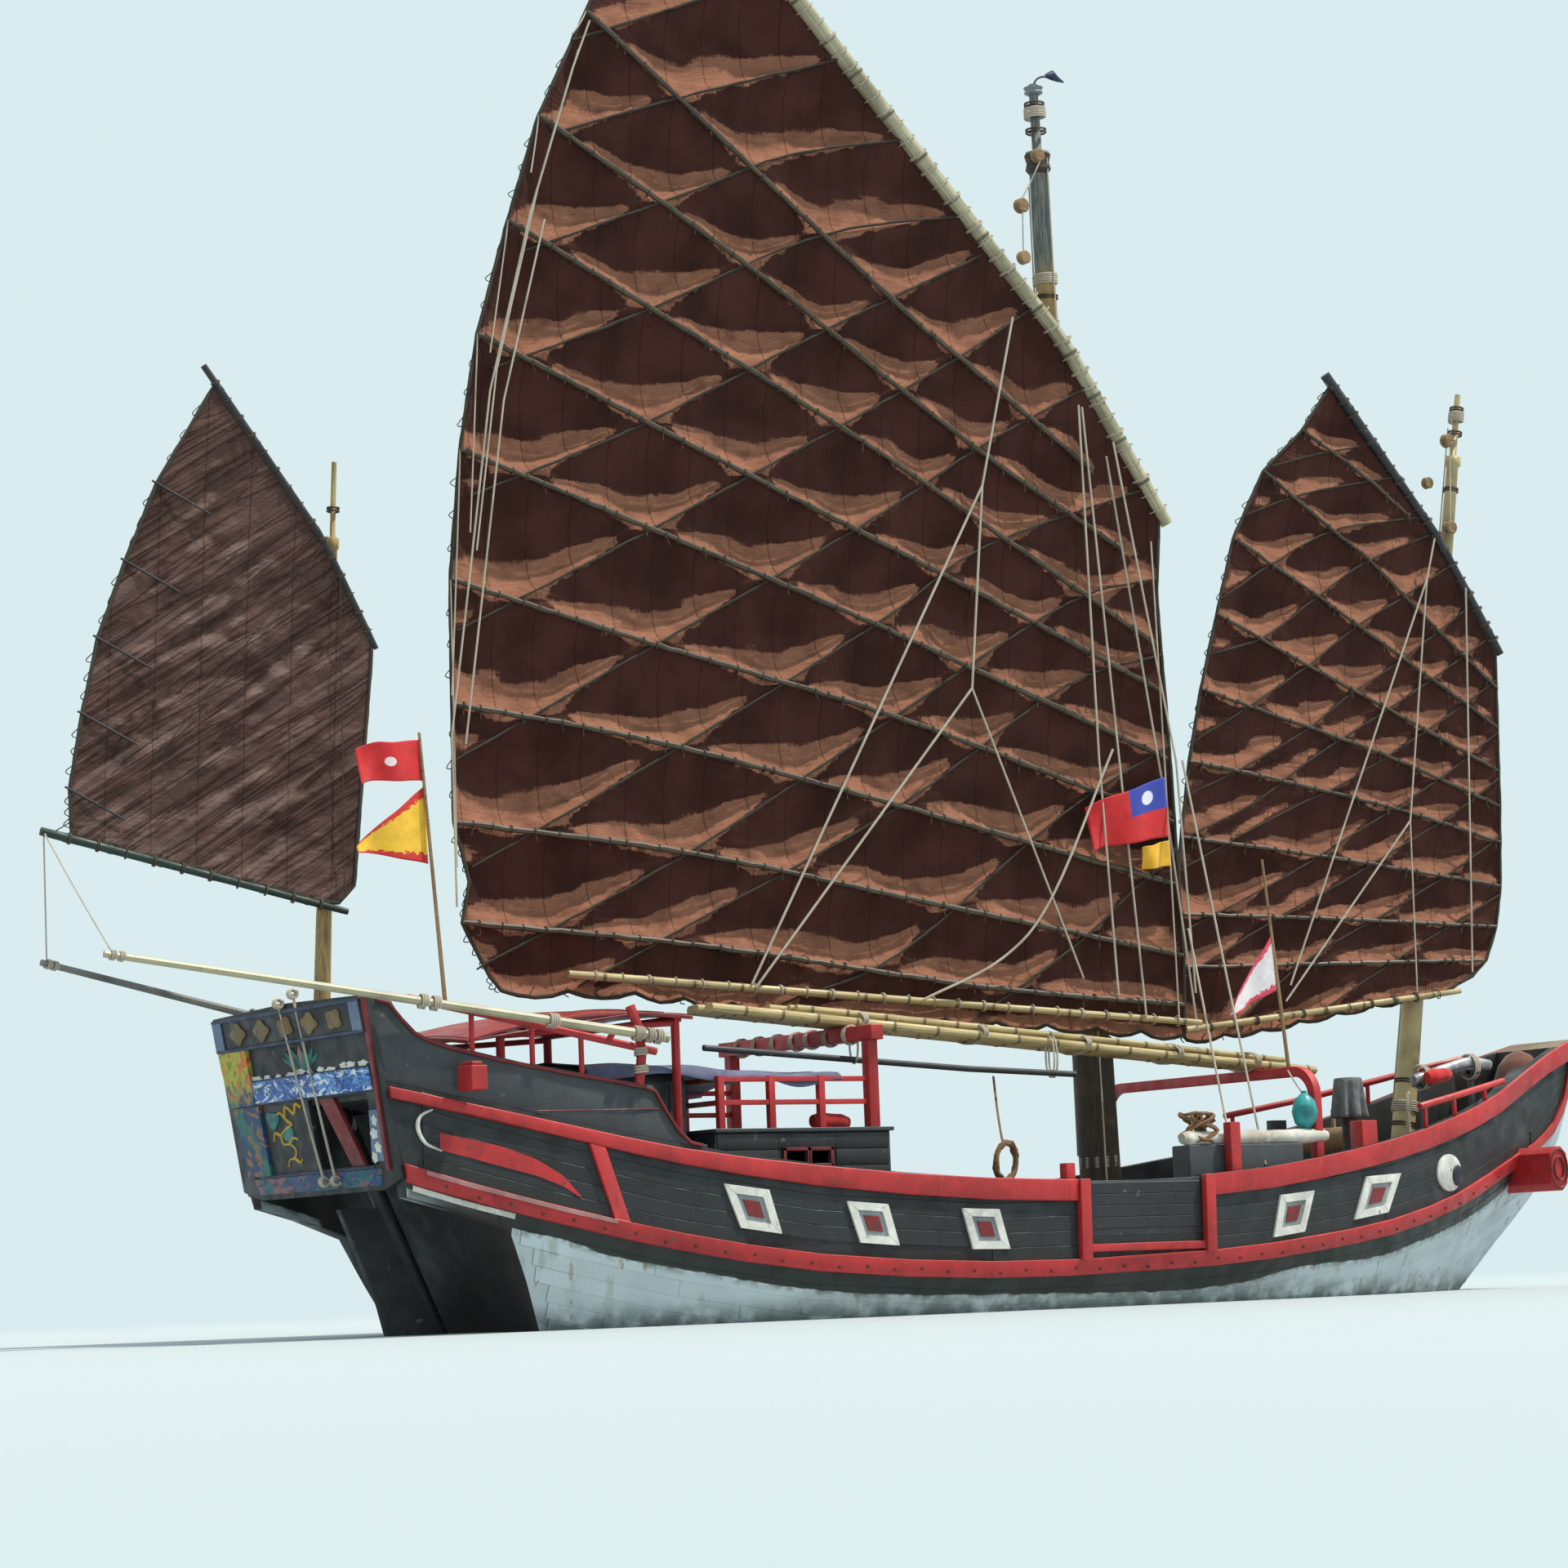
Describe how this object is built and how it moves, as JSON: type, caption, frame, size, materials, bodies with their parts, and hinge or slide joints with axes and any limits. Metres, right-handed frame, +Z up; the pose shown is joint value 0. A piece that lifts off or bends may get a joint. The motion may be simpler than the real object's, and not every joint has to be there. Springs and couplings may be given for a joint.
{
  "type": "chinese junk ship",
  "caption": "Wooden sailing junk afloat: planked hull with poop and transom, deckhouses, gallows, three masts with battened lug sails, hung rudder with tiller, and windlass.",
  "frame": {"origin": "on the centre line amidships, at the waterline", "axes": "+X to the bow, +Y to port, +Z up"},
  "size_m": [18.9566, 4.6592, 17.5922],
  "materials": {
    "hull_paint": "dark painted planks, pale blue-grey below the water",
    "red_paint": "worn red paint, satin",
    "slate_paint": "weathered slate-grey paint",
    "dark_paint": "dark paint, matt",
    "blue_paint": "painted ornament, satin",
    "green_paint": "dark green paint, satin",
    "bamboo": "bare bamboo",
    "bare_wood": "oiled grey-brown wood",
    "deck_wood": "worn deck planks",
    "canopy": "painted canvas over battens",
    "tarpaulin": "faded tarpaulin",
    "sailcloth": "tanned brown sailcloth"
  },
  "bodies": {
    "ship": {"hull": "hull_paint", "side_planking_aft_starboard": "hull_paint", "side_planking_fore_starboard": "hull_paint", "side_planking_aft_port": "hull_paint", "side_planking_fore_port": "hull_paint", "bow_crossbeam": "red_paint", "upper_wale_aft_starboard": "red_paint", "upper_wale_fore_starboard": "red_paint", "lower_wale_starboard": "red_paint", "gangway_boards_starboard": "dark_paint", "upper_wale_aft_port": "red_paint", "upper_wale_fore_port": "red_paint", "lower_wale_port": "red_paint", "gangway_boards_port": "dark_paint", "poop_bulwark_starboard": "slate_paint", "poop_bulwark_port": "slate_paint", "transom": "dark_paint", "name_board": "slate_paint", "wave_board": "blue_paint", "poop_rail_starboard": "red_paint", "poop_rail_port": "red_paint", "bumpkin_starboard": "bamboo", "bumpkin_port": "bamboo", "canopy_roof": "canopy", "canopy_frame": "red_paint", "aft_cabin": "dark_paint", "deckhouse": "slate_paint", "deckhouse_roof": "slate_paint", "deckhouse_rail": "red_paint", "aft_gallows": "red_paint", "fore_gallows": "red_paint", "spar_bundle": "bamboo", "awning": "tarpaulin", "hatch": "deck_wood", "windlass_bitts": "red_paint", "bow_rail_starboard": "red_paint", "bow_rail_port": "red_paint", "main_mast": "bare_wood", "main_mast_step": "deck_wood", "fore_mast": "bamboo", "fore_mast_step": "deck_wood", "mizzen_mast": "bare_wood", "mizzen_mast_step": "deck_wood", "rudder_bearing": "dark_paint", "stern_flagstaff": "bare_wood", "bow_flagstaff": "bamboo"},
    "main_rig": {"main_sail": "sailcloth", "main_yard": "bare_wood", "main_boom": "bamboo"},
    "fore_rig": {"fore_sail": "sailcloth", "fore_yard": "bare_wood", "fore_boom": "bamboo"},
    "mizzen_rig": {"mizzen_sail": "sailcloth", "mizzen_yard": "bare_wood", "mizzen_boom": "green_paint"},
    "rudder_and_tiller": {"rudder": "dark_paint", "tiller": "bare_wood"},
    "windlass": {"windlass_drum": "bare_wood"}
  },
  "joints": [
    {"name": "main_swing", "type": "hinge", "parent": "ship", "child": "main_rig", "pos_m": [1.66, 0, 0.72], "axis": [-0.0192, 0, 0.9998], "range_deg": [-52, 68]},
    {"name": "fore_swing", "type": "hinge", "parent": "ship", "child": "fore_rig", "pos_m": [5.96, 0, 1.3], "axis": [0.1702, 0, 0.9854], "range_deg": [-52, 68]},
    {"name": "mizzen_swing", "type": "hinge", "parent": "ship", "child": "mizzen_rig", "pos_m": [-7.56, 0.48, 2.293], "axis": [0.0523, 0, 0.9986], "range_deg": [-52, 68]},
    {"name": "rudder_turn", "type": "hinge", "parent": "ship", "child": "rudder_and_tiller", "pos_m": [-7.08, 0, 1.1], "axis": [-0.4231, 0, 0.9061], "range_deg": [-35, 35]},
    {"name": "windlass_turn", "type": "hinge", "parent": "ship", "child": "windlass", "pos_m": [4.75, 0, 1.74], "axis": [0, 1, 0], "continuous": true}
  ]
}
